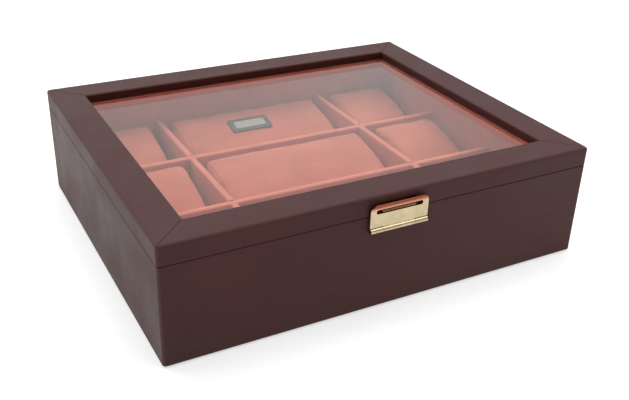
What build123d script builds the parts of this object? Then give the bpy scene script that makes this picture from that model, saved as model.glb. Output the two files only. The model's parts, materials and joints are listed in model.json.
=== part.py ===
"""Watch box: a leather-covered box with a glazed lid, suede lining and watch cushions.

Frame: millimetres, +Z up, +X to the right of someone facing the catch, -Y to the front.
The origin is the centre of the footprint, on the surface that the box stands on.
An inset is a distance inwards from the outside face of the walls.
"""
from build123d import *
from math import cos, radians, sin
import os

os.makedirs("parts", exist_ok=True)

# Outside of the box
WIDTH = 320.0
DEPTH = 264.0
HEIGHT = 85.0

# Sheet and board thicknesses
LEATHER = 1.0
WALL_BOARD = 9.0
BOTTOM_BOARD = 5.0
LINER = 2.0
FLOOR_LINER = 1.5
FELT = 1.0

# Rounding of the leather over board edges
CORNER_ROUND = 2.5
EDGE_ROUND = 1.8
RIM_ROUND = 0.6
LOWER_ROUND = 0.5
BOARD_ROUND = 1.5

# Base
SEAM = 71.0
FELT_INSET = 3.0
TURN_IN = 16.0
LINER_DROP = 0.5

# Lid
SEAM_GAP = 0.3
RAIL = 25.0
GLASS_DROP = 5.0
GLASS = 2.4
GLASS_INSET = 16.0
POCKET_PLAY = 0.3
LEATHER_UNDERLAP = 8.0
MITRE_GROOVE = 0.6

# Compartments
COLUMN_X = 75.0
ROW_Y = 40.0
DIVIDER = 5.0
DIVIDER_TOP = 49.5
NOTCH_PLAY = 0.2
DIVIDER_ROUND = 1.5
GAP = 0.3

# Cushions, highest at the back, and the plaque on the middle one at the back
CUSHION_CROWN = 50.0
CUSHION_MIDDLE = 44.5
CUSHION_SHOULDER = 30.0
CUSHION_ROUND = 6.0
CUSHION_SIDE_GAPS = {"left": 6.0, "centre": 3.0, "right": 6.0}
CUSHION_END_GAP = 3.0
PLAQUE_X = -5.0
PLAQUE_SHARE = 0.6
PLAQUE_WIDTH = 36.0
PLAQUE_DEPTH = 17.0
PLAQUE_THICK = 1.2

# Butt hinges at the back
HINGE_X = 95.0
HINGE_LENGTH = 36.0
HINGE_MIDDLE = 18.0
HINGE_LEAF = 1.0
HINGE_REACH = 7.6
HINGE_KNUCKLE = 2.5
HINGE_STANDOFF = 2.9
HINGE_PIN = 1.2
HINGE_SCREW_INSET = 4.0
HINGE_SCREW_X = 11.0

# Hasp at the front
HASP_WIDTH = 43.5
HASP_TOP = 80.3
HASP_THICK = 1.4
HASP_PIVOT_Z = 61.6
HASP_STANDOFF = 2.3
HASP_KNUCKLE = 1.9
HASP_MIDDLE = 24.0
HASP_PIN = 0.9
HASP_BACK_GAP = 1.15
HASP_CORNER = 5.0
SLOT_WIDTH = 35.0
SLOT_LOW = 73.3
SLOT_HIGH = 76.2
LIP_START = 76.6
LIP_RADIUS = 4.2
LIP_ANGLE = 60.0
BRACKET_WIDTH = 40.0
BRACKET_TOP = 70.0
BRACKET_THICK = 0.8
BRACKET_SCREW_X = 15.0
BRACKET_SCREW_Z = 66.6
STRIKE_WIDTH = 26.0
STRIKE_TOP = 79.6
TONGUE_LOW = 74.0
TONGUE_HIGH = 75.4
TONGUE_REACH = 2.3
STRIKE_SCREW_X = 9.0
STRIKE_SCREW_Z = 77.5

# Screws
SCREW_HEAD = 1.8
SCREW_SHANK = 0.9
SCREW_LENGTH = 7.0
SCREW_SLOT = 0.5
SCREW_PLAY = 0.05
PIN_PLAY = 0.05
PRESS_PLAY = 0.02
KNUCKLE_PLAY = 0.2
KNUCKLE_CLEAR = 0.4

# Levels and insets that follow from the sizes above
BOARD_INSET = LEATHER
LINER_INSET = BOARD_INSET + WALL_BOARD
INSIDE = LINER_INSET + LINER
BOARD_LOW = FELT + LEATHER
BOARD_HIGH = SEAM - LEATHER
FLOOR_LOW = BOARD_LOW + BOTTOM_BOARD
FLOOR = FLOOR_LOW + FLOOR_LINER
INSIDE_X = WIDTH / 2 - INSIDE
INSIDE_Y = DEPTH / 2 - INSIDE
LID_LOW = SEAM + SEAM_GAP
GLASS_HIGH = HEIGHT - GLASS_DROP
GLASS_LOW = GLASS_HIGH - GLASS
CORE_LOW = LID_LOW + LEATHER
LIP_LOW = GLASS_HIGH + LEATHER
CORE_HIGH = HEIGHT - LEATHER
CORE_POCKET = GLASS_INSET - POCKET_PLAY
FRONT_FACE = -DEPTH / 2
BACK_FACE = DEPTH / 2
HINGE_PIVOT_Y = BACK_FACE + HINGE_STANDOFF
HINGE_PIVOT_Z = SEAM + SEAM_GAP / 2
HASP_PIVOT_Y = FRONT_FACE - HASP_STANDOFF

SIDES = {
    "front": (Plane((0, -DEPTH / 2, 0), x_dir=(0, 1, 0), z_dir=(1, 0, 0)), WIDTH),
    "back": (Plane((0, DEPTH / 2, 0), x_dir=(0, -1, 0), z_dir=(-1, 0, 0)), WIDTH),
    "left": (Plane((-WIDTH / 2, 0, 0), x_dir=(1, 0, 0), z_dir=(0, -1, 0)), DEPTH),
    "right": (Plane((WIDTH / 2, 0, 0), x_dir=(-1, 0, 0), z_dir=(0, 1, 0)), DEPTH),
}
HANDS = {"left": -1, "right": 1}


def save(piece, name):
    """Label a finished piece and write it to its own file."""
    piece.part.label = name
    export_step(piece.part, f"parts/{name}.step")


def ring(outer, inner, low, high):
    """A rectangular ring between two insets and two heights."""
    with BuildPart() as body:
        with BuildSketch(Plane.XY.offset(low)):
            Rectangle(WIDTH - 2 * outer, DEPTH - 2 * outer)
            Rectangle(WIDTH - 2 * inner, DEPTH - 2 * inner, mode=Mode.SUBTRACT)
        extrude(amount=high - low)
    return body


def slab(inset, low, high):
    """A plain sheet that fills the plan within one inset."""
    with BuildPart() as body:
        with BuildSketch(Plane.XY.offset(low)):
            Rectangle(WIDTH - 2 * inset, DEPTH - 2 * inset)
        extrude(amount=high - low)
    return body


def block(low, high):
    """A plain block between two opposite corners."""
    with BuildPart() as body:
        with BuildSketch(Plane.XY.offset(low[2])):
            with Locations(((low[0] + high[0]) / 2, (low[1] + high[1]) / 2)):
                Rectangle(high[0] - low[0], high[1] - low[1])
        extrude(amount=high[2] - low[2])
    return body


def rod(centre, radius, length):
    """A cylinder along X about a point."""
    with BuildPart() as body:
        with BuildSketch(Plane.YZ.offset(centre[0])):
            with Locations((centre[1], centre[2])):
                Circle(radius)
        extrude(amount=length / 2, both=True)
    return body


def side_of(whole, side):
    """The part of a frame on one side of the box, cut at its two 45 degree mitres."""
    plane, length = SIDES[side]
    with BuildPart() as piece:
        add(whole.part)
        for end in (-1, 1):
            corner = plane.origin + plane.z_dir * (end * length / 2)
            mitre = Plane(corner, z_dir=plane.z_dir * -end - plane.x_dir)
            split(bisect_by=mitre, keep=Keep.TOP)
    return piece


def cut_away(whole, tools):
    """A copy of a piece with each of the tools taken out of it."""
    with BuildPart() as piece:
        add(whole.part)
        for tool in tools:
            add(tool.part, mode=Mode.SUBTRACT)
    return piece


# Fasteners: countersunk screws, seated with the head's top at the local origin

def screw(play=0.0, slotted=True):
    """One countersunk screw, or with play and no slot, the hole that it needs."""
    head = SCREW_HEAD + play
    shank = SCREW_SHANK + play
    length = SCREW_LENGTH + play
    with BuildPart() as body:
        with BuildSketch(Plane.XZ):
            with BuildLine():
                Polyline((0, 0), (head, 0), (shank, -(head - shank)), (shank, 1 - length),
                         (0, -length), (0, 0))
            make_face()
        revolve(axis=Axis.Z)
        if slotted:
            with BuildSketch(Plane.XY):
                Rectangle(2 * SCREW_HEAD, SCREW_SLOT)
            extrude(amount=-SCREW_SLOT, mode=Mode.SUBTRACT)
    return body


SCREW = screw()
SCREW_HOLE = screw(play=SCREW_PLAY, slotted=False)

HINGE_SCREW_Y = BACK_FACE - HINGE_SCREW_INSET
HINGE_SCREWS_X = [hand * HINGE_X + step for hand in (-1, 1)
                  for step in (-HINGE_SCREW_X, HINGE_SCREW_X)]
BASE_SCREWS = [Location((x, HINGE_SCREW_Y, SEAM)) for x in HINGE_SCREWS_X]
LID_SCREWS = [Location((x, HINGE_SCREW_Y, LID_LOW), (180, 0, 0)) for x in HINGE_SCREWS_X]
PLATE_FRONT = FRONT_FACE - BRACKET_THICK
HASP_SCREWS = [Location((hand * BRACKET_SCREW_X, PLATE_FRONT, BRACKET_SCREW_Z), (90, 0, 0))
               for hand in (-1, 1)]
STRIKE_SCREWS = [Location((hand * STRIKE_SCREW_X, PLATE_FRONT, STRIKE_SCREW_Z), (90, 0, 0))
                 for hand in (-1, 1)]


def screws_at(places, source=SCREW):
    """A group of separate screws, or of the holes for them."""
    with BuildPart() as group:
        with Locations(*places):
            add(source.part)
    return group


def make_screws():
    """The four groups of screws: both halves of the hinges, the hasp and its strike."""
    save(screws_at(BASE_SCREWS), "hinge_base_screws")
    save(screws_at(LID_SCREWS), "hinge_lid_screws")
    save(screws_at(HASP_SCREWS), "hasp_screws")
    save(screws_at(STRIKE_SCREWS), "strike_screws")


def mortises(low, high):
    """The two shallow recesses in a rim that take the hinge leaves."""
    reach = HINGE_REACH + NOTCH_PLAY
    half = HINGE_LENGTH / 2 + NOTCH_PLAY
    return [block((hand * HINGE_X - half, BACK_FACE - reach, low),
                  (hand * HINGE_X + half, BACK_FACE + 1, high)) for hand in (-1, 1)]


# Base: boards, outer leather, lining and felt

def wall_boards():
    """The four wall boards together, with their outer corners eased."""
    with BuildPart() as walls:
        add(ring(BOARD_INSET, LINER_INSET, BOARD_LOW, BOARD_HIGH).part)
        corners = walls.edges().filter_by(Axis.Z).sort_by(SortBy.DISTANCE, reverse=True)[:4]
        fillet(corners, BOARD_ROUND)
    return walls


def make_wall_boards():
    """Four mitred wall boards and the bottom board glued between them."""
    holes = [screws_at(BASE_SCREWS, SCREW_HOLE), screws_at(HASP_SCREWS, SCREW_HOLE)]
    walls = cut_away(wall_boards(), holes)
    for side in SIDES:
        save(side_of(walls, side), f"wall_board_{side}")
    save(slab(LINER_INSET, BOARD_LOW, FLOOR_LOW), "bottom_board")


def make_base_leather():
    """The leather that wraps the four walls, over the rim and under the bottom edge."""
    with BuildPart() as solid:
        add(slab(0, FELT, SEAM).part)
        fillet(solid.edges().filter_by(Axis.Z), CORNER_ROUND)
        fillet(solid.faces().sort_by(Axis.Z)[-1].edges(), RIM_ROUND)
        fillet(solid.faces().sort_by(Axis.Z)[0].edges(), LOWER_ROUND)
    tools = [
        wall_boards(),
        slab(LINER_INSET, BOARD_LOW, SEAM),
        slab(TURN_IN, FELT, BOARD_LOW),
        screws_at(HASP_SCREWS, SCREW_HOLE),
    ]
    tools += mortises(BOARD_HIGH, SEAM)
    save(cut_away(solid, tools), "base_leather")


def make_lining():
    """Suede-covered liners on the four walls and the floor, and the felt underneath."""
    liners = ring(LINER_INSET, INSIDE, FLOOR, SEAM - LINER_DROP)
    for side in SIDES:
        save(side_of(liners, side), f"wall_liner_{side}")
    save(slab(LINER_INSET, FLOOR_LOW, FLOOR), "floor_liner")
    save(slab(FELT_INSET, 0, FELT), "base_felt")


# Compartments: four dividers halved into each other

def divider(along_y, place):
    """One suede-covered divider with a rounded top edge and two halving notches."""
    half_length = (INSIDE_Y if along_y else INSIDE_X) - GAP
    half_notch = DIVIDER / 2 + NOTCH_PLAY
    middle = (FLOOR + DIVIDER_TOP) / 2
    run = Axis.Y if along_y else Axis.X
    if along_y:
        low = (place - DIVIDER / 2, -half_length, FLOOR)
        high = (place + DIVIDER / 2, half_length, DIVIDER_TOP)
        spots = [(place, -ROW_Y), (place, ROW_Y)]
        notch = (middle, DIVIDER_TOP)
    else:
        low = (-half_length, place - DIVIDER / 2, FLOOR)
        high = (half_length, place + DIVIDER / 2, DIVIDER_TOP)
        spots = [(-COLUMN_X, place), (COLUMN_X, place)]
        notch = (FLOOR, middle + NOTCH_PLAY)
    with BuildPart() as board:
        add(block(low, high).part)
        fillet(board.edges().filter_by(run).group_by(Axis.Z)[-1], DIVIDER_ROUND)
        with BuildSketch(Plane.XY.offset(notch[0])):
            with Locations(*spots):
                Rectangle(2 * half_notch, 2 * half_notch)
        extrude(amount=notch[1] - notch[0], mode=Mode.SUBTRACT)
    return board


def make_dividers():
    """Two dividers from front to back and two across, interlocked at the crossings."""
    save(divider(True, -COLUMN_X), "column_divider_left")
    save(divider(True, COLUMN_X), "column_divider_right")
    save(divider(False, -ROW_Y), "row_divider_front")
    save(divider(False, ROW_Y), "row_divider_back")


# Cells between the dividers: (low, high) along X or Y
HALF = DIVIDER / 2
COLUMNS = {
    "left": (-INSIDE_X, -COLUMN_X - HALF),
    "centre": (-COLUMN_X + HALF, COLUMN_X - HALF),
    "right": (COLUMN_X + HALF, INSIDE_X),
}
ROWS = {
    "front": (-INSIDE_Y, -ROW_Y - HALF),
    "middle": (-ROW_Y + HALF, ROW_Y - HALF),
    "back": (ROW_Y + HALF, INSIDE_Y),
}


def cushion_top(y_low, y_high):
    """The points that the arched top of a cushion passes through, from front to back."""
    return [(y_low, CUSHION_SHOULDER), ((y_low + y_high) / 2, CUSHION_MIDDLE),
            (y_high, CUSHION_CROWN)]


def cushion(column, row, side_gap):
    """A watch cushion: flat below, its top sloping down to the front, with rounded edges."""
    x_low = column[0] + side_gap
    x_high = column[1] - side_gap
    y_low = row[0] + CUSHION_END_GAP
    y_high = row[1] - CUSHION_END_GAP
    low = FLOOR + GAP
    with BuildPart() as body:
        with BuildSketch(Plane.YZ.offset(x_low)):
            with BuildLine():
                Polyline((y_high, CUSHION_CROWN), (y_high, low), (y_low, low),
                         (y_low, CUSHION_SHOULDER))
                ThreePointArc(*cushion_top(y_low, y_high))
            make_face()
        extrude(amount=x_high - x_low)
        fillet(body.edges(), CUSHION_ROUND)
    return body


def make_cushions():
    """A loose cushion in each of the nine compartments."""
    for column_name, column in COLUMNS.items():
        for row_name, row in ROWS.items():
            piece = cushion(column, row, CUSHION_SIDE_GAPS[column_name])
            save(piece, f"cushion_{column_name}_{row_name}")


def make_plaque():
    """The blank plaque, lying on the slope of the middle cushion at the back."""
    y_low = ROWS["back"][0] + CUSHION_END_GAP
    y_high = ROWS["back"][1] - CUSHION_END_GAP
    with BuildLine() as top:
        ThreePointArc(*cushion_top(y_low, y_high))
    spot = top.line @ PLAQUE_SHARE
    slope = top.line % PLAQUE_SHARE
    seat = Plane((PLAQUE_X, spot.X, spot.Y), x_dir=(1, 0, 0), z_dir=(0, -slope.Y, slope.X))
    with BuildPart() as plaque:
        with BuildSketch(seat):
            RectangleRounded(PLAQUE_WIDTH, PLAQUE_DEPTH, 2)
        extrude(amount=PLAQUE_THICK)
        face = plaque.faces().sort_by(Axis(seat.origin, seat.z_dir))[-1]
        chamfer(face.edges(), PLAQUE_THICK / 3)
    save(plaque, "plaque")


# Lid: mitred rails, leather, glass and the lining that holds the glass up

def lid_rails():
    """The four rails together before the lining's rebate, with their outer corners eased."""
    with BuildPart() as rails:
        add(ring(BOARD_INSET, RAIL - LEATHER, LIP_LOW, CORE_HIGH).part)
        add(ring(BOARD_INSET, CORE_POCKET, CORE_LOW, LIP_LOW).part)
        corners = rails.edges().filter_by(Axis.Z).sort_by(SortBy.DISTANCE, reverse=True)[:4]
        fillet(corners, BOARD_ROUND)
    return rails


def make_lid_core():
    """Four mitred rails, rebated underneath for the glass and the lining."""
    tools = [
        ring(LEATHER_UNDERLAP, RAIL, LID_LOW, GLASS_LOW),
        screws_at(LID_SCREWS, SCREW_HOLE),
        screws_at(STRIKE_SCREWS, SCREW_HOLE),
    ]
    core = cut_away(lid_rails(), tools)
    for side in SIDES:
        save(side_of(core, side), f"lid_rail_{side}")


def mitre_grooves():
    """The four shallow V grooves on top of the frame where the leather wraps meet."""
    with BuildPart() as grooves:
        for x_hand in (-1, 1):
            for y_hand in (-1, 1):
                corner = (x_hand * WIDTH / 2, y_hand * DEPTH / 2, HEIGHT)
                across = Plane(corner, x_dir=(-x_hand, y_hand, 0), z_dir=(-x_hand, -y_hand, 0))
                with BuildSketch(across):
                    Rectangle(MITRE_GROOVE, MITRE_GROOVE, rotation=45)
                extrude(amount=2 * RAIL)
    return grooves


def make_lid_leather():
    """One leather wrap on each rail, meeting at the mitres and turned in at the glass."""
    with BuildPart() as solid:
        add(slab(0, LID_LOW, HEIGHT).part)
        fillet(solid.edges().filter_by(Axis.Z), CORNER_ROUND)
        with BuildSketch(Plane.XY.offset(LID_LOW)):
            Rectangle(WIDTH - 2 * RAIL, DEPTH - 2 * RAIL)
        extrude(amount=HEIGHT - LID_LOW, mode=Mode.SUBTRACT)
        fillet(solid.faces().sort_by(Axis.Z)[-1].edges(), EDGE_ROUND)
        fillet(solid.faces().sort_by(Axis.Z)[0].outer_wire().edges(), LOWER_ROUND)
    tools = [
        lid_rails(),
        ring(LEATHER_UNDERLAP, RAIL, LID_LOW, CORE_LOW),
        ring(CORE_POCKET, RAIL, LID_LOW, GLASS_HIGH),
        screws_at(STRIKE_SCREWS, SCREW_HOLE),
    ]
    tools += mortises(LID_LOW, CORE_LOW)
    tools.append(mitre_grooves())
    leather = cut_away(solid, tools)
    for side in SIDES:
        save(side_of(leather, side), f"lid_leather_{side}")


def make_glass():
    """The glass pane and the four suede-covered strips that hold it from below."""
    save(slab(GLASS_INSET, GLASS_LOW, GLASS_HIGH), "glass_pane")
    lining = ring(LEATHER_UNDERLAP + GAP / 2, RAIL, LID_LOW, GLASS_LOW)
    for side in SIDES:
        save(side_of(lining, side), f"lid_lining_{side}")


# Hinges: two brass butt hinges let into the rims at the back

def knuckle(centre, radius, hole, length):
    """One hinge knuckle with its bore."""
    return cut_away(rod(centre, radius, length), [rod(centre, hole, length + 2)])


def hinge_leaf(centre_x, low, spans, hole, name):
    """A leaf between two rims, carrying a knuckle on each of the given spans."""
    half = HINGE_LENGTH / 2
    edge = BACK_FACE - HINGE_REACH
    plate = block((centre_x - half, edge, low), (centre_x + half, BACK_FACE, low + HINGE_LEAF))
    places = BASE_SCREWS if low < SEAM else LID_SCREWS
    with BuildPart() as leaf:
        add(plate.part)
        fillet(leaf.edges().filter_by(Axis.Z).group_by(Axis.Y)[0], 1)
        for start, end in spans:
            tab = block((centre_x + start, BACK_FACE - 1, low),
                        (centre_x + end, HINGE_PIVOT_Y, low + HINGE_LEAF))
            middle = (centre_x + (start + end) / 2, HINGE_PIVOT_Y, HINGE_PIVOT_Z)
            add(tab.part)
            add(rod(middle, HINGE_KNUCKLE, end - start).part)
    bore = rod((centre_x, HINGE_PIVOT_Y, HINGE_PIVOT_Z), hole, 2 * HINGE_LENGTH)
    save(cut_away(leaf, [bore, screws_at(places, SCREW_HOLE)]), name)


def make_hinges():
    """Both hinges: a base leaf with two knuckles, a lid leaf with one, and a pin."""
    half = HINGE_LENGTH / 2
    inner = HINGE_MIDDLE / 2
    outer_spans = [(-half, -inner - KNUCKLE_PLAY), (inner + KNUCKLE_PLAY, half)]
    for hand_name, hand in HANDS.items():
        x = hand * HINGE_X
        hinge_leaf(x, BOARD_HIGH, outer_spans, HINGE_PIN + PRESS_PLAY,
                   f"hinge_base_leaf_{hand_name}")
        hinge_leaf(x, LID_LOW, [(-inner, inner)], HINGE_PIN + PIN_PLAY,
                   f"hinge_lid_leaf_{hand_name}")
        pin = rod((x, HINGE_PIVOT_Y, HINGE_PIVOT_Z), HINGE_PIN, HINGE_LENGTH + 1)
        save(pin, f"hinge_pin_{hand_name}")


# Hasp: a slotted plate hinged at its foot, snapped over a tongue on the lid

def make_hasp_plate():
    """The slotted plate with its rolled-out top lip and its middle knuckle."""
    back = FRONT_FACE - HASP_BACK_GAP
    front = back - HASP_THICK
    foot = HASP_PIVOT_Z + HASP_KNUCKLE + KNUCKLE_CLEAR

    def lip(radius, share):
        """A point on one face of the lip, a share of the way round its arc."""
        turn = radians(LIP_ANGLE * share)
        return (back - LIP_RADIUS + radius * cos(turn), LIP_START + radius * sin(turn))

    inner = LIP_RADIUS - HASP_THICK
    with BuildPart() as section:
        with BuildSketch(Plane.YZ.offset(-HASP_WIDTH / 2)):
            with BuildLine():
                ThreePointArc(lip(LIP_RADIUS, 0), lip(LIP_RADIUS, 0.5), lip(LIP_RADIUS, 1))
                Line(lip(LIP_RADIUS, 1), lip(inner, 1))
                ThreePointArc(lip(inner, 1), lip(inner, 0.5), lip(inner, 0))
                Polyline(lip(inner, 0), (front, foot), (back, foot), lip(LIP_RADIUS, 0))
            make_face()
        extrude(amount=HASP_WIDTH)
    with BuildPart() as outline:
        with BuildSketch(Plane.XZ.offset(-FRONT_FACE - 2)):
            with Locations((0, (foot + HASP_TOP) / 2)):
                rounded = Rectangle(HASP_WIDTH, HASP_TOP - foot)
                fillet(rounded.vertices().group_by(Axis.Y)[-1], HASP_CORNER)
            with Locations((0, (SLOT_LOW + SLOT_HIGH) / 2)):
                RectangleRounded(SLOT_WIDTH, SLOT_HIGH - SLOT_LOW, 1.2, mode=Mode.SUBTRACT)
        extrude(amount=12)
    centre = (0, HASP_PIVOT_Y, HASP_PIVOT_Z)
    tab = block((-HASP_MIDDLE / 2, front, HASP_PIVOT_Z), (HASP_MIDDLE / 2, back, foot + 1))
    with BuildPart() as plate:
        add(section.part)
        add(outline.part, mode=Mode.INTERSECT)
        add(tab.part)
        add(rod(centre, HASP_KNUCKLE, HASP_MIDDLE).part)
        add(rod(centre, HASP_PIN + PIN_PLAY, HASP_WIDTH).part, mode=Mode.SUBTRACT)
    save(plate, "hasp_plate")


def make_hasp_bracket():
    """The bracket on the base with the two outer knuckles, and the hasp's pin."""
    inner = HASP_MIDDLE / 2 + KNUCKLE_PLAY
    outer = HASP_WIDTH / 2 - 0.25
    centre = (0, HASP_PIVOT_Y, HASP_PIVOT_Z)
    notch_top = HASP_PIVOT_Z + HASP_KNUCKLE + KNUCKLE_CLEAR
    leaf = block((-BRACKET_WIDTH / 2, PLATE_FRONT, HASP_PIVOT_Z),
                 (BRACKET_WIDTH / 2, FRONT_FACE, BRACKET_TOP))
    notch = block((-inner, PLATE_FRONT - 1, HASP_PIVOT_Z - 1), (inner, FRONT_FACE + 1, notch_top))
    body = cut_away(leaf, [notch, screws_at(HASP_SCREWS, SCREW_HOLE)])
    with BuildPart() as bracket:
        add(body.part)
        for hand in (-1, 1):
            middle = (hand * (inner + outer) / 2, HASP_PIVOT_Y, HASP_PIVOT_Z)
            add(rod(middle, HASP_KNUCKLE, outer - inner).part)
        add(rod(centre, HASP_PIN + PRESS_PLAY, HASP_WIDTH).part, mode=Mode.SUBTRACT)
    save(bracket, "hasp_bracket")
    save(rod(centre, HASP_PIN, 2 * outer), "hasp_pin")


def make_strike():
    """The strike on the lid: a flat flange with the tongue that stands in the slot."""
    flange = block((-STRIKE_WIDTH / 2, PLATE_FRONT, LID_LOW + GAP),
                   (STRIKE_WIDTH / 2, FRONT_FACE, STRIKE_TOP))
    tongue = block((-STRIKE_WIDTH / 2, FRONT_FACE - TONGUE_REACH, TONGUE_LOW),
                   (STRIKE_WIDTH / 2, FRONT_FACE, TONGUE_HIGH))
    with BuildPart() as plate:
        add(tongue.part)
        fillet(plate.edges().filter_by(Axis.Z).group_by(Axis.Y)[0], 1)
        add(flange.part)
    save(cut_away(plate, [screws_at(STRIKE_SCREWS, SCREW_HOLE)]), "strike_plate")


make_wall_boards()
make_base_leather()
make_lining()
make_dividers()
make_cushions()
make_plaque()
make_lid_core()
make_lid_leather()
make_glass()
make_hinges()
make_hasp_plate()
make_hasp_bracket()
make_strike()
make_screws()
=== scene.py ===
import json
import math
import bpy
import bmesh
from mathutils import Matrix, Vector, noise
from mathutils.bvhtree import BVHTree


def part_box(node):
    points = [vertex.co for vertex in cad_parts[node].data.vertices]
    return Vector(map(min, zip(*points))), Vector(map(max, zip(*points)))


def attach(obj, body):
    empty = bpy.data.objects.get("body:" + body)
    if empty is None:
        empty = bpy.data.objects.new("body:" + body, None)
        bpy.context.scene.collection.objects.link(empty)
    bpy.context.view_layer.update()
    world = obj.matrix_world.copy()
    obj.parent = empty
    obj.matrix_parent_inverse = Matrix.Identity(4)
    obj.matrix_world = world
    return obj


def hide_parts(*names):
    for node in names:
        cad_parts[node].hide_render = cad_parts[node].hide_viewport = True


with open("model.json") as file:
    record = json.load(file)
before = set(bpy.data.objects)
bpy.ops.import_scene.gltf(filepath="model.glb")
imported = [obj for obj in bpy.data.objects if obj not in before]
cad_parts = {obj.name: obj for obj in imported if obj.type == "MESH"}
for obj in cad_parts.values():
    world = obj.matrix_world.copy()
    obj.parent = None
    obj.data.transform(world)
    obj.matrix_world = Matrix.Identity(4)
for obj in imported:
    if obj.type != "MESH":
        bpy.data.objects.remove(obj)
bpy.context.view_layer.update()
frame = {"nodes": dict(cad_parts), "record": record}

MM = 0.001

# Camera: where it stands, how it is turned in degrees, and its lens and sensor in mm
CAMERA_PLACE = (-0.2792, -0.5287, 0.3347)
CAMERA_AZIMUTH = -28.83
CAMERA_ELEVATION = 28.15
CAMERA_ROLL = 1.89
CAMERA_LENS = 49.3
CAMERA_SENSOR = 36.0

# Cushions: the heights of the sloping top at its middle and its front
CUSHION_MIDDLE = 44.5 * MM
CUSHION_SHOULDER = 30.0 * MM
# How far the starting shape stays inside the CAD solid: at its sides, and under its top
CUSHION_INSET = 1.0 * MM
CUSHION_SKIN = 0.4 * MM
# The cloth: its mesh, the held underside, and how far a point may move outward and inward
CUSHION_VOXEL = 3.6 * MM
CUSHION_HELD = 2.0 * MM
CUSHION_PRESSURE = 4.0
CUSHION_FRAMES = 20
CUSHION_SWELL = 4.0 * MM
CUSHION_SINK = 0.3 * MM
# The suede's slight unevenness: its height, and its waves per metre
UNEVEN_HEIGHT = 0.55 * MM
UNEVEN_SCALE = 45
# The corded seams: how far from the cushion's ends, how thick, and how deep they are set in
SEAM_INSET = 5.0 * MM
SEAM_RADIUS = 0.55 * MM
SEAM_DEPTH = 0.3 * MM

# Plaque: its slope in degrees, and the raised field in its middle
PLAQUE_TILT = 12.96
FIELD_SIZE = (27.0 * MM, 9.0 * MM)
FIELD_BOTTOM = 0.3 * MM
FIELD_TOP = 0.75 * MM
FIELD_CORNER = 1.0 * MM
FIELD_BEVEL = 0.15 * MM

# Hasp: the height above which its plating is painted copper red, a painted reflection of the dark
# leather in its curved upper edge
RED_REFLECTION_HEIGHT = 76.4 * MM

# Studio: the brightness of the surroundings in front of the box and behind it, and the
# distance from the box to the floor's edge in metres
WORLD_FRONT = 0.50
WORLD_BACK = 1.10
FLOOR_REACH = 6.0


# ---------------------------------------------------------------- material helpers

def new_material(name):
    """A material with an empty Principled surface; returns it with its node tree and shader."""
    material = bpy.data.materials.new(name)
    material.use_nodes = True
    tree = material.node_tree
    shader = tree.nodes["Principled BSDF"]
    return material, tree, shader


def coordinates(tree, scale=(1, 1, 1)):
    """Object coordinates in metres, scaled."""
    source = tree.nodes.new("ShaderNodeTexCoord")
    mapping = tree.nodes.new("ShaderNodeMapping")
    mapping.inputs["Scale"].default_value = scale
    tree.links.new(source.outputs["Object"], mapping.inputs["Vector"])
    return mapping.outputs["Vector"]


def noise_texture(tree, vector, scale, detail=3.0, roughness=0.55):
    """A noise value from 0 to 1."""
    node = tree.nodes.new("ShaderNodeTexNoise")
    node.inputs["Scale"].default_value = scale
    node.inputs["Detail"].default_value = detail
    node.inputs["Roughness"].default_value = roughness
    tree.links.new(vector, node.inputs["Vector"])
    return node.outputs["Fac"]


def cells(tree, vector, scale):
    """The distance to the edge of Voronoi cells, for the leather's pebbled grain."""
    node = tree.nodes.new("ShaderNodeTexVoronoi")
    node.feature = "DISTANCE_TO_EDGE"
    node.inputs["Scale"].default_value = scale
    tree.links.new(vector, node.inputs["Vector"])
    return node.outputs["Distance"]


def ramp(tree, value, stops):
    """A colour ramp over a value: stops are (position, colour)."""
    node = tree.nodes.new("ShaderNodeValToRGB")
    while len(node.color_ramp.elements) < len(stops):
        node.color_ramp.elements.new(0.5)
    for element, (position, colour) in zip(node.color_ramp.elements, stops):
        element.position = position
        element.color = (*colour, 1)
    tree.links.new(value, node.inputs["Fac"])
    return node.outputs["Color"]


def remap(tree, value, low, high, to_low, to_high):
    """A value moved from one range to another, clamped."""
    node = tree.nodes.new("ShaderNodeMapRange")
    for name, number in (("From Min", low), ("From Max", high),
                         ("To Min", to_low), ("To Max", to_high)):
        node.inputs[name].default_value = number
    tree.links.new(value, node.inputs["Value"])
    return node.outputs["Result"]


def mix_colours(tree, factor, a, b, blend="MIX"):
    """Two colours or sockets mixed by a factor or socket."""
    node = tree.nodes.new("ShaderNodeMix")
    node.data_type = "RGBA"
    node.blend_type = blend
    for index, value in ((0, factor), (6, a), (7, b)):
        if isinstance(value, bpy.types.NodeSocket):
            tree.links.new(value, node.inputs[index])
        elif index == 0:
            node.inputs[index].default_value = value
        else:
            node.inputs[index].default_value = (*value, 1)
    return node.outputs[2]


def sum_of(tree, *terms):
    """The sum of (value socket, weight) pairs."""
    total = None
    for value, weight in terms:
        product = tree.nodes.new("ShaderNodeMath")
        product.operation = "MULTIPLY_ADD"
        tree.links.new(value, product.inputs[0])
        product.inputs[1].default_value = weight
        product.inputs[2].default_value = 0.0
        if total is not None:
            tree.links.new(total, product.inputs[2])
        total = product.outputs[0]
    return total


def bump(tree, shader, height, distance, strength=1.0):
    """Bump from a height value; distance is the height of 1, in metres."""
    node = tree.nodes.new("ShaderNodeBump")
    node.inputs["Strength"].default_value = strength
    node.inputs["Distance"].default_value = distance
    tree.links.new(height, node.inputs["Height"])
    tree.links.new(node.outputs["Normal"], shader.inputs["Normal"])


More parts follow.
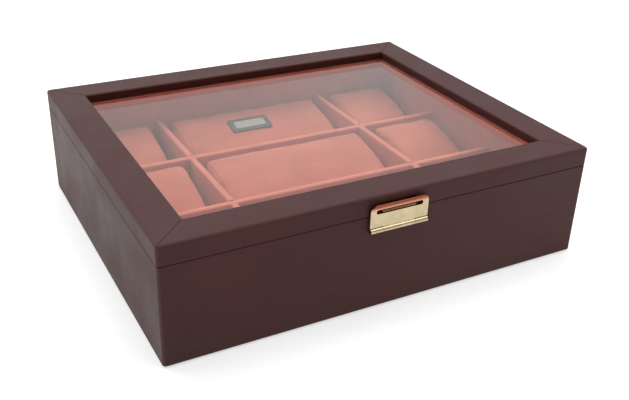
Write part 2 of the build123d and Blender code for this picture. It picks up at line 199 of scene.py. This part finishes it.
def roundness(tree):
    """0 on the flat faces of a box-shaped piece, rising over its rounded edges."""
    source = tree.nodes.new("ShaderNodeTexCoord")
    absolute = tree.nodes.new("ShaderNodeVectorMath")
    absolute.operation = "ABSOLUTE"
    tree.links.new(source.outputs["Normal"], absolute.inputs[0])
    parts = tree.nodes.new("ShaderNodeSeparateXYZ")
    tree.links.new(absolute.outputs[0], parts.inputs[0])
    largest = parts.outputs[0]
    for other in (parts.outputs[1], parts.outputs[2]):
        node = tree.nodes.new("ShaderNodeMath")
        node.operation = "MAXIMUM"
        tree.links.new(largest, node.inputs[0])
        tree.links.new(other, node.inputs[1])
        largest = node.outputs[0]
    return remap(tree, largest, 1.0, 0.72, 0.0, 1.0)


def window_recess_shade_mask(tree):
    """1 on the turned-in edge around the glass, where the leather is painted near black as shade in
    the recess; 0 on the rest of the leather.
    """
    low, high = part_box("lid_leather_front")
    rail = high.y - low.y
    source = tree.nodes.new("ShaderNodeTexCoord")
    parts = tree.nodes.new("ShaderNodeSeparateXYZ")
    tree.links.new(source.outputs["Object"], parts.inputs[0])
    masks = []
    for axis, half in ((0, -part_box("lid_leather_left")[0].x), (1, -low.y)):
        distance = tree.nodes.new("ShaderNodeMath")
        distance.operation = "ABSOLUTE"
        tree.links.new(parts.outputs[axis], distance.inputs[0])
        edge = half - rail + 1.0 * MM
        masks.append(remap(tree, distance.outputs[0], edge, edge - 0.6 * MM, 0.0, 1.0))
    both = tree.nodes.new("ShaderNodeMath")
    both.operation = "MULTIPLY"
    tree.links.new(masks[0], both.inputs[0])
    tree.links.new(masks[1], both.inputs[1])
    return both.outputs[0]


# ---------------------------------------------------------------- materials

def leather():
    """Fine-grained dark brown leather, lighter where the edges are rubbed, with painted shade on the
    turned-in edge around the glass.
    """
    material, tree, shader = new_material("brown_leather")
    place = coordinates(tree)
    pebbles = cells(tree, place, 1050)
    pores = noise_texture(tree, place, 2600, 2.0)
    mottle = noise_texture(tree, place, 26, 4.0)
    drift = noise_texture(tree, place, 5, 2.0)
    base = ramp(tree, mottle, [(0.30, (0.042, 0.0125, 0.0125)), (0.70, (0.062, 0.020, 0.018))])
    valley = remap(tree, pebbles, 0.0, 0.22, 0.62, 1.0)
    grained = mix_colours(tree, 1.0, base, valley, "MULTIPLY")
    drifted = mix_colours(tree, remap(tree, drift, 0.35, 0.65, 0.0, 0.25), grained,
                          (0.075, 0.030, 0.027))
    worn = mix_colours(tree, sum_of(tree, (roundness(tree), 0.30)), drifted,
                       (0.110, 0.052, 0.044))
    # painted shade: the turned-in edge around the glass is darkened to near-black red for the shade
    # in the recess
    recess_shaded = mix_colours(tree, window_recess_shade_mask(tree), worn, (0.036, 0.004, 0.002))
    tree.links.new(recess_shaded, shader.inputs["Base Color"])
    tree.links.new(remap(tree, mottle, 0.3, 0.7, 0.44, 0.60), shader.inputs["Roughness"])
    shader.inputs["Specular IOR Level"].default_value = 0.19
    shader.inputs["Specular Tint"].default_value = (1.0, 0.80, 0.80, 1)
    shader.inputs["Sheen Weight"].default_value = 0.03
    shader.inputs["Sheen Roughness"].default_value = 0.4
    shader.inputs["Sheen Tint"].default_value = (1.0, 0.78, 0.72, 1)
    height = sum_of(tree, (remap(tree, pebbles, 0.0, 0.3, 0.0, 1.0), 1.0), (pores, 0.35))
    bump(tree, shader, height, 0.09 * MM, 0.8)
    return material


def suede(name, light, dark, nap=1.0):
    """Soft suede: a short nap with brushed lighter and darker areas."""
    material, tree, shader = new_material(name)
    place = coordinates(tree)
    brushed = noise_texture(tree, coordinates(tree, (1.0, 1.6, 1.0)), 34, 3.0)
    fibre = noise_texture(tree, place, 2300, 3.0, 0.7)
    clumps = noise_texture(tree, place, 420, 3.0, 0.6)
    base = ramp(tree, brushed, [(0.30, dark), (0.72, light)])
    speckled = mix_colours(tree, 1.0, base, remap(tree, fibre, 0.3, 0.7, 0.84, 1.10), "MULTIPLY")
    clumped = mix_colours(tree, 1.0, speckled, remap(tree, clumps, 0.3, 0.7, 0.93, 1.05),
                          "MULTIPLY")
    tree.links.new(clumped, shader.inputs["Base Color"])
    tree.links.new(remap(tree, brushed, 0.3, 0.7, 0.86, 0.98), shader.inputs["Roughness"])
    shader.inputs["Specular IOR Level"].default_value = 0.25
    shader.inputs["Sheen Weight"].default_value = 0.35
    shader.inputs["Sheen Roughness"].default_value = 0.45
    shader.inputs["Sheen Tint"].default_value = (1.0, 0.72, 0.62, 1)
    height = sum_of(tree, (fibre, 0.5), (clumps, 1.0))
    bump(tree, shader, height, 0.12 * MM * nap, 0.7)
    return material


def fibreboard():
    """Plain pressed board, hidden under the leather and the lining."""
    material, tree, shader = new_material("box_board")
    place = coordinates(tree, (1, 1, 4))
    fibre = noise_texture(tree, place, 700, 5.0, 0.7)
    base = ramp(tree, fibre, [(0.3, (0.33, 0.21, 0.12)), (0.7, (0.50, 0.35, 0.22))])
    tree.links.new(base, shader.inputs["Base Color"])
    tree.links.new(remap(tree, fibre, 0.3, 0.7, 0.70, 0.85), shader.inputs["Roughness"])
    bump(tree, shader, fibre, 0.1 * MM)
    return material


def felt():
    """Black needled felt."""
    material, tree, shader = new_material("black_felt")
    place = coordinates(tree)
    fibre = noise_texture(tree, place, 1600, 4.0, 0.7)
    patches = noise_texture(tree, place, 60, 3.0)
    base = ramp(tree, fibre, [(0.3, (0.010, 0.009, 0.009)), (0.7, (0.035, 0.031, 0.030))])
    tree.links.new(base, shader.inputs["Base Color"])
    tree.links.new(remap(tree, patches, 0.3, 0.7, 0.88, 1.0), shader.inputs["Roughness"])
    shader.inputs["Sheen Weight"].default_value = 0.15
    bump(tree, shader, fibre, 0.3 * MM)
    return material


def brass(name, dull, bright, red_reflection=None):
    """Plated brass: polished, with a fine brushed grain and faint handling marks.

    red_reflection is the height and the colour of an upper edge painted copper red, a painted
    reflection of the dark leather and plate that the curved edge mirrors.
    """
    material, tree, shader = new_material(name)
    grain = noise_texture(tree, coordinates(tree, (0.06, 1, 1)), 5200, 3.0)
    smears = noise_texture(tree, coordinates(tree), 130, 3.0)
    base = ramp(tree, smears, [(0.3, dull), (0.7, bright)])
    if red_reflection:
        parts = tree.nodes.new("ShaderNodeSeparateXYZ")
        tree.links.new(coordinates(tree), parts.inputs[0])
        height = remap(tree, parts.outputs[2], red_reflection[0] - 0.4 * MM, red_reflection[0] + 0.4 * MM, 0.0, 1.0)
        # painted reflection: the upper edge is coloured copper red for the dark leather it mirrors
        base = mix_colours(tree, height, base, red_reflection[1])
    tree.links.new(base, shader.inputs["Base Color"])
    shader.inputs["Metallic"].default_value = 1.0
    rough = sum_of(tree, (remap(tree, grain, 0.3, 0.7, 0.10, 0.20), 1.0),
                   (remap(tree, smears, 0.4, 0.7, 0.0, 0.08), 1.0))
    tree.links.new(rough, shader.inputs["Roughness"])
    bump(tree, shader, grain, 0.006 * MM)
    return material


def nickel(name, dark, light, rough):
    """Satin plate with a brushed grain along X."""
    material, tree, shader = new_material(name)
    grain = noise_texture(tree, coordinates(tree, (0.04, 1, 1)), 4200, 4.0)
    base = ramp(tree, grain, [(0.3, dark), (0.7, light)])
    tree.links.new(base, shader.inputs["Base Color"])
    shader.inputs["Metallic"].default_value = 0.9
    tree.links.new(remap(tree, grain, 0.3, 0.7, rough, rough + 0.12), shader.inputs["Roughness"])
    bump(tree, shader, grain, 0.01 * MM)
    return material


def glass():
    """A clear pane: what is behind it shows through, with a reflection that grows at a slant."""
    material = bpy.data.materials.new("clear_glass")
    material.use_nodes = True
    tree = material.node_tree
    tree.nodes.remove(tree.nodes["Principled BSDF"])
    through = tree.nodes.new("ShaderNodeBsdfTransparent")
    through.inputs["Color"].default_value = (0.965, 0.975, 0.97, 1)
    mirror = tree.nodes.new("ShaderNodeBsdfGlossy")
    smudge = noise_texture(tree, coordinates(tree), 40, 3.0)
    tree.links.new(remap(tree, smudge, 0.4, 0.7, 0.02, 0.06), mirror.inputs["Roughness"])
    facing = tree.nodes.new("ShaderNodeLayerWeight")
    facing.inputs["Blend"].default_value = 0.5
    slant = tree.nodes.new("ShaderNodeMath")
    slant.operation = "POWER"
    slant.inputs[1].default_value = 5.0
    tree.links.new(facing.outputs["Facing"], slant.inputs[0])
    blend = tree.nodes.new("ShaderNodeMixShader")
    tree.links.new(remap(tree, slant.outputs[0], 0.0, 1.0, 0.04, 1.0), blend.inputs[0])
    tree.links.new(through.outputs[0], blend.inputs[1])
    tree.links.new(mirror.outputs[0], blend.inputs[2])
    tree.links.new(blend.outputs[0], tree.nodes["Material Output"].inputs["Surface"])
    return material


# coral_suede and cushion_suede are one suede: painted light makes the lining and dividers lighter
# for the shade they stand in, and the cushions darker for the light that falls on them
CORAL = (0.72, 0.212, 0.143)
CORAL_DARK = (0.60, 0.162, 0.108)
MATERIALS = {
    "brown_leather": leather(),
    "box_board": fibreboard(),
    "coral_suede": suede("coral_suede", CORAL, CORAL_DARK),
    "cushion_suede": suede("cushion_suede", (0.61, 0.170, 0.112), (0.49, 0.127, 0.082), 1.3),
    "black_felt": felt(),
    "clear_glass": glass(),
    "nickel_plaque": nickel("nickel_plaque", (0.10, 0.10, 0.095), (0.17, 0.17, 0.16), 0.38),
    # the gilt brass carries a painted copper-red reflection along its upper edge
    "gilt_brass": brass("gilt_brass", (0.45, 0.36, 0.215), (0.54, 0.445, 0.30),
                        (RED_REFLECTION_HEIGHT, (0.50, 0.17, 0.10))),
    # painted shade: the strike is coloured dark bronze so that the slot in front of it shows as dark
    # as its shadow
    "bronze_strike": brass("bronze_strike", (0.10, 0.05, 0.022), (0.18, 0.09, 0.04)),
}


def paint_frame():
    """Each CAD node gets the material of its slot in the record."""
    for row in frame["record"]["subparts"]:
        mesh = frame["nodes"][row["node"]].data
        mesh.materials.clear()
        mesh.materials.append(MATERIALS[row["material_slot"]])


# ---------------------------------------------------------------- mesh helpers

def add_piece(name, mesh, body, slot, smooth=True):
    """Puts a finished mesh in the scene, on a CAD body, with a slot's material."""
    piece = bpy.data.objects.new(name, mesh)
    bpy.context.scene.collection.objects.link(piece)
    mesh.materials.clear()
    mesh.materials.append(MATERIALS[slot])
    for face in mesh.polygons:
        face.use_smooth = smooth
    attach(piece, body)
    return piece


def apply_modifiers(piece):
    """Replaces the piece's mesh by what its modifiers make of it."""
    graph = bpy.context.evaluated_depsgraph_get()
    mesh = bpy.data.meshes.new_from_object(piece.evaluated_get(graph))
    piece.modifiers.clear()
    piece.data = mesh


def tube(name, points, radius, body, slot, sides=8):
    """A closed ring of round cord through the points, as a mesh."""
    shape = bmesh.new()
    count = len(points)
    rings = []
    turns = [2 * math.pi * k / sides for k in range(sides)]
    for i, point in enumerate(points):
        along = (points[(i + 1) % count] - points[i - 1]).normalized()
        side = along.cross(Vector((1, 0, 0))).normalized()
        other = along.cross(side)
        rings.append([shape.verts.new(point + radius * (math.cos(t) * side + math.sin(t) * other))
                      for t in turns])
    for i in range(count):
        ring, following = rings[i], rings[(i + 1) % count]
        for k in range(sides):
            after = (k + 1) % sides
            shape.faces.new((ring[k], ring[after], following[after], following[k]))
    bmesh.ops.recalc_face_normals(shape, faces=shape.faces)
    mesh = bpy.data.meshes.new(name)
    shape.to_mesh(mesh)
    shape.free()
    return add_piece(name, mesh, body, slot)


# ---------------------------------------------------------------- cushions

def top_height(share, crown):
    """The height of a cushion's arched top, from its front (-1) to its back (1)."""
    lift = (crown - CUSHION_SHOULDER) / 2
    bend = (crown + CUSHION_SHOULDER) / 2 - CUSHION_MIDDLE
    return CUSHION_MIDDLE + lift * share + bend * share * share


def sloping_block(low, high):
    """The cushion before it is filled: a rounded block whose top slopes down to the front."""
    middle = (low + high) / 2
    half = (high - low) / 2
    shape = bmesh.new()
    bmesh.ops.create_cube(shape, size=2.0)
    bmesh.ops.subdivide_edges(shape, edges=shape.edges[:], cuts=13, use_grid_fill=True)
    for vertex in shape.verts:
        u, v, w = vertex.co
        fullness = 1 - 0.012 * (abs(v) ** 8 + abs(w) ** 8)
        drop = 1.2 * MM * abs(u) ** 10 + 1.0 * MM * abs(v) ** 14
        top = top_height(v, high.z) - CUSHION_SKIN - drop
        vertex.co = Vector((middle.x + half.x * u * fullness,
                            middle.y + half.y * v * (1 - 0.015 * abs(u) ** 8),
                            low.z + (w + 1) / 2 * (top - low.z)))
    mesh = bpy.data.meshes.new("cushion_start")
    shape.to_mesh(mesh)
    shape.free()
    return mesh


def fill_with_cloth(piece, floor):
    """Inflates the piece as cloth with its underside held; it swells outward, up to a cap."""
    remesh = piece.modifiers.new("remesh", "REMESH")
    remesh.mode = "VOXEL"
    remesh.voxel_size = CUSHION_VOXEL
    apply_modifiers(piece)
    start = [vertex.co.copy() for vertex in piece.data.vertices]
    middle = [(min(axis) + max(axis)) / 2 for axis in zip(*start)]
    held = piece.vertex_groups.new(name="held")
    held.add([v.index for v in piece.data.vertices if v.co.z < floor + CUSHION_HELD], 1.0, "REPLACE")
    cloth = piece.modifiers.new("cloth", "CLOTH")
    cloth.settings.use_pressure = True
    cloth.settings.uniform_pressure_force = CUSHION_PRESSURE
    cloth.settings.vertex_group_mass = "held"
    cloth.settings.effector_weights.gravity = 0.0
    cloth.settings.quality = 5
    cloth.point_cache.frame_start = 1
    cloth.point_cache.frame_end = CUSHION_FRAMES
    for step in range(1, CUSHION_FRAMES + 1):
        bpy.context.scene.frame_set(step)
    apply_modifiers(piece)
    bpy.context.scene.frame_set(1)
    for vertex, origin in zip(piece.data.vertices, start):
        moved = vertex.co - origin
        for axis in range(3):
            way = 1 if origin[axis] > middle[axis] else -1
            moved[axis] = way * max(way * moved[axis], -CUSHION_SINK)
        if moved.length > CUSHION_SWELL:
            moved = moved.normalized() * CUSHION_SWELL
        vertex.co = origin + moved
    piece.vertex_groups.clear()


def settle(piece, low, high, seed):
    """Subdivides the filled cushion, gives the suede its slight unevenness, keeps it in its box."""
    middle = (low + high) / 2
    for vertex in piece.data.vertices:
        share = (vertex.co.y - middle.y) / (high.y - middle.y)
        vertex.co.z = min(vertex.co.z, top_height(share, high.z) - CUSHION_SKIN)
    smooth = piece.modifiers.new("smooth", "SUBSURF")
    smooth.levels = smooth.render_levels = 1
    apply_modifiers(piece)
    for vertex, normal in zip(piece.data.vertices, [v.normal.copy() for v in piece.data.vertices]):
        where = vertex.co * UNEVEN_SCALE + seed
        vertex.co += normal * (noise.fractal(where, 0.9, 2.1, 3) * UNEVEN_HEIGHT)
        for axis in range(3):
            vertex.co[axis] = min(max(vertex.co[axis], low[axis]), high[axis])


def seam_points(piece, x, middle, floor, steps=72):
    """Where the cushion's surface crosses the plane at x, going once round it above the floor."""
    tree = BVHTree.FromPolygons([v.co for v in piece.data.vertices],
                                [p.vertices for p in piece.data.polygons])
    points = []
    for i in range(steps):
        angle = 2 * math.pi * i / steps
        way = Vector((0, math.cos(angle), math.sin(angle)))
        hit = tree.ray_cast(Vector((x, middle.y, middle.z)), way)[0]
        point = hit - way * SEAM_DEPTH
        point.z = max(point.z, floor + SEAM_RADIUS)
        points.append(point)
    return points


def make_cushion(node, number):
    """One suede cushion in the place of its CAD solid, with a corded seam round each side."""
    low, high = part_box(node)
    inset = Vector((CUSHION_INSET, CUSHION_INSET, 0))
    mesh = sloping_block(low + inset, high - inset)
    piece = add_piece(f"{node}_suede", mesh, node, "cushion_suede")
    fill_with_cloth(piece, low.z)
    settle(piece, low, high, Vector((number * 7.3, number * 3.1, 0)))
    for face in piece.data.polygons:
        face.use_smooth = True
    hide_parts(node)
    middle = (low + high) / 2
    for side, x in (("left", low.x + SEAM_INSET), ("right", high.x - SEAM_INSET)):
        points = seam_points(piece, x, middle, low.z)
        tube(f"{node}_seam_{side}", points, SEAM_RADIUS, node, "cushion_suede")


def make_cushions():
    """Every cushion that the frame holds."""
    names = sorted(n for n in frame["nodes"] if n.startswith("cushion_"))
    for number, name in enumerate(names):
        make_cushion(name, number)


# ---------------------------------------------------------------- plaque

def rounded_plate(name, low, high, corner, bevel, place, slot, body):
    """A flat plate with rounded corners and a bevelled upper edge, moved to its place."""
    half = (high - low) / 2
    outline = []
    for quarter, (sx, sy) in enumerate(((1, 1), (-1, 1), (-1, -1), (1, -1))):
        for step in range(7):
            angle = math.radians(90 * quarter + 15 * step)
            outline.append((sx * (half.x - corner) + corner * math.cos(angle),
                            sy * (half.y - corner) + corner * math.sin(angle)))
    shape = bmesh.new()
    bottom = shape.faces.new([shape.verts.new((x, y, low.z)) for x, y in outline])
    top = bmesh.ops.extrude_face_region(shape, geom=[bottom])["geom"]
    raised = [g for g in top if isinstance(g, bmesh.types.BMVert)]
    bmesh.ops.translate(shape, verts=raised, vec=(0, 0, high.z - low.z))
    rim = [e for e in shape.edges if all(v.co.z > high.z - 1e-6 for v in e.verts)]
    bmesh.ops.bevel(shape, geom=rim, offset=bevel, segments=3, affect="EDGES", profile=0.5)
    bmesh.ops.recalc_face_normals(shape, faces=shape.faces)
    mesh = bpy.data.meshes.new(name)
    shape.to_mesh(mesh)
    shape.free()
    mesh.transform(place)
    return add_piece(name, mesh, body, slot, smooth=False)


def make_plaque():
    """The lighter, blank field that stands just proud of the dark plaque on its slope."""
    low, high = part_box("plaque")
    half = Vector((FIELD_SIZE[0] / 2, FIELD_SIZE[1] / 2, 0))
    tilt = Matrix.Rotation(math.radians(PLAQUE_TILT), 4, "X")
    field = rounded_plate("plaque_field", Vector((0, 0, FIELD_BOTTOM)) - half,
                          Vector((0, 0, FIELD_TOP)) + half, FIELD_CORNER, FIELD_BEVEL,
                          Matrix.Translation((low + high) / 2) @ tilt,
                          "nickel_plaque", "cushion_centre_back")
    satin = nickel("plaque_satin", (0.36, 0.355, 0.335), (0.53, 0.52, 0.49), 0.42)
    field.data.materials.clear()
    field.data.materials.append(satin)


# ---------------------------------------------------------------- stage

def make_stage():
    """A plain pale floor, and soft studio light."""
    mesh = bpy.data.meshes.new("floor")
    corners = [(x * FLOOR_REACH, y * FLOOR_REACH, 0)
               for x, y in ((-1, -1), (1, -1), (1, 1), (-1, 1))]
    mesh.from_pydata(corners, [], [(0, 1, 2, 3)])
    floor = bpy.data.objects.new("floor", mesh)
    bpy.context.scene.collection.objects.link(floor)
    material, tree, shader = new_material("floor_paper")
    shader.inputs["Base Color"].default_value = (0.62, 0.62, 0.62, 1)
    shader.inputs["Roughness"].default_value = 0.9
    shader.inputs["Emission Color"].default_value = (1, 1, 1, 1)
    shader.inputs["Emission Strength"].default_value = 0.48
    mesh.materials.append(material)
    world = bpy.data.worlds.new("studio")
    world.use_nodes = True
    sky = world.node_tree
    background = sky.nodes["Background"]
    background.inputs["Color"].default_value = (1, 1, 1, 1)
    source = sky.nodes.new("ShaderNodeTexCoord")
    parts = sky.nodes.new("ShaderNodeSeparateXYZ")
    sky.links.new(source.outputs["Generated"], parts.inputs[0])
    sky.links.new(remap(sky, parts.outputs[1], -0.3, 0.8, WORLD_FRONT, WORLD_BACK),
                  background.inputs["Strength"])
    bpy.context.scene.world = world
    area_light("key", (-0.25, 0.7, 1.4), (0, 0, 0.05), 1.1, 12)
    area_light("fill", (0.5, -0.25, 1.5), (0, 0, 0.05), 1.2, 13)
    bpy.context.scene.view_settings.view_transform = "Standard"


def area_light(name, place, aim, size, power):
    """A square soft light, turned to face its aim."""
    data = bpy.data.lights.new(name, "AREA")
    data.size = size
    data.energy = power
    light = bpy.data.objects.new(name, data)
    light.location = place
    light.rotation_euler = (Vector(aim) - Vector(place)).to_track_quat("-Z", "Y").to_euler()
    bpy.context.scene.collection.objects.link(light)


def make_camera():
    """The camera, turned by its azimuth, elevation and roll."""
    azimuth, elevation, roll = (math.radians(a) for a in
                                (CAMERA_AZIMUTH, CAMERA_ELEVATION, CAMERA_ROLL))
    back = Vector((math.sin(azimuth) * math.cos(elevation),
                   -math.cos(azimuth) * math.cos(elevation), math.sin(elevation)))
    right = Vector((math.cos(azimuth), math.sin(azimuth), 0))
    up = back.cross(right)
    turned_right = math.cos(roll) * right + math.sin(roll) * up
    turned_up = math.cos(roll) * up - math.sin(roll) * right
    camera = bpy.data.objects.new("camera", bpy.data.cameras.new("camera"))
    camera.matrix_world = Matrix((turned_right, turned_up, back)).transposed().to_4x4()
    camera.location = CAMERA_PLACE
    camera.data.lens = CAMERA_LENS
    camera.data.sensor_width = CAMERA_SENSOR
    bpy.context.scene.collection.objects.link(camera)
    bpy.context.scene.camera = camera


make_camera()
paint_frame()
make_cushions()
make_plaque()
make_stage()

bpy.context.view_layer.update()
